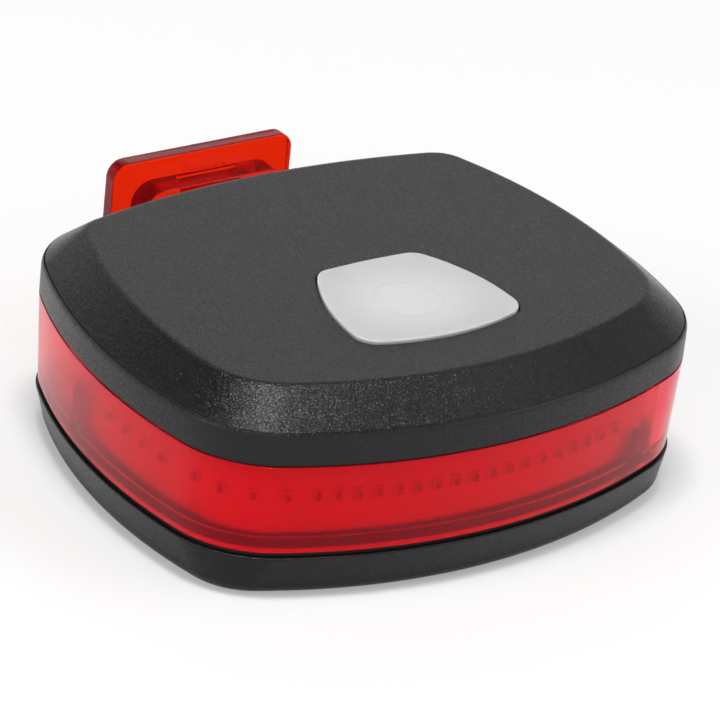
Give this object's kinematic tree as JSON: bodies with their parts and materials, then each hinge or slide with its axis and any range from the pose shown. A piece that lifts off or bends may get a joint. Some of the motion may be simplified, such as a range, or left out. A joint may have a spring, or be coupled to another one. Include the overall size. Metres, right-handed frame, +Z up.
{
  "type": "bike rear light",
  "caption": "Low rounded-box bicycle rear light with a red lens band between black tray and sloped black cap, milky push button on top and T-shaped slide-in tongue on the back.",
  "frame": {"origin": "middle of the flat underside", "axes": "+Z up through the button, -Y toward the lit front, +Y toward the mounting tongue, +X along the width"},
  "size_m": [0.054, 0.0519, 0.0197],
  "materials": {
    "black_plastic": "fine moulded grain",
    "red_lens": "clear red, polished",
    "milky_silicone": "translucent white, satin",
    "dark_parts": "moulded epoxy",
    "white_plastic": "plain",
    "circuit_board": "solder mask",
    "lamp_chip": "dark resin lens",
    "ceramic": "plain",
    "steel": "nickel plated",
    "black_rubber": "matte",
    "white_flex": "white solder mask",
    "cell_foil": "laminated foil",
    "red_wire": "silicone insulation",
    "black_wire": "silicone insulation"
  },
  "bodies": {
    "housing": {"base": "black_plastic", "lens_ring": "red_lens", "top_cover": "black_plastic", "switch_body": "dark_parts", "main_board": "circuit_board", "indicator_leds": "lamp_chip", "controller_chip": "dark_parts", "charger_chip": "dark_parts", "power_coil": "dark_parts", "capacitors": "ceramic", "usb_shell": "steel", "usb_core": "dark_parts", "led_carrier": "white_plastic", "led_strip_front": "white_flex", "led_strip_side": "white_flex", "led_chips": "lamp_chip", "battery": "cell_foil", "battery_tape": "black_rubber", "lead_red": "red_wire", "lead_black": "black_wire", "cover_seal": "black_rubber", "base_seal": "black_rubber", "case_screws": "steel", "board_screws": "steel"},
    "button": {"button_pad": "milky_silicone"},
    "stem": {"switch_stem": "white_plastic"},
    "port_door": {"port_plug": "black_rubber"}
  },
  "joints": [
    {"name": "button_press", "type": "slide", "parent": "housing", "child": "button", "axis": [0, 0, -1], "range_m": [0, 0.0004], "stiffness_N_per_m": 2500, "springref_m": -0.0004},
    {"name": "stem_press", "type": "slide", "parent": "housing", "child": "stem", "axis": [0, 0, -1], "range_m": [0, 0.0004]},
    {"name": "door_hinge", "type": "hinge", "parent": "housing", "child": "port_door", "pos_m": [0.0148, 0.0057, 0.0005], "axis": [1, 0, 0], "range_deg": [0, 100]}
  ],
  "couplings": [
    {"joint": "stem_press", "follows": "button_press", "ratio": 1}
  ]
}
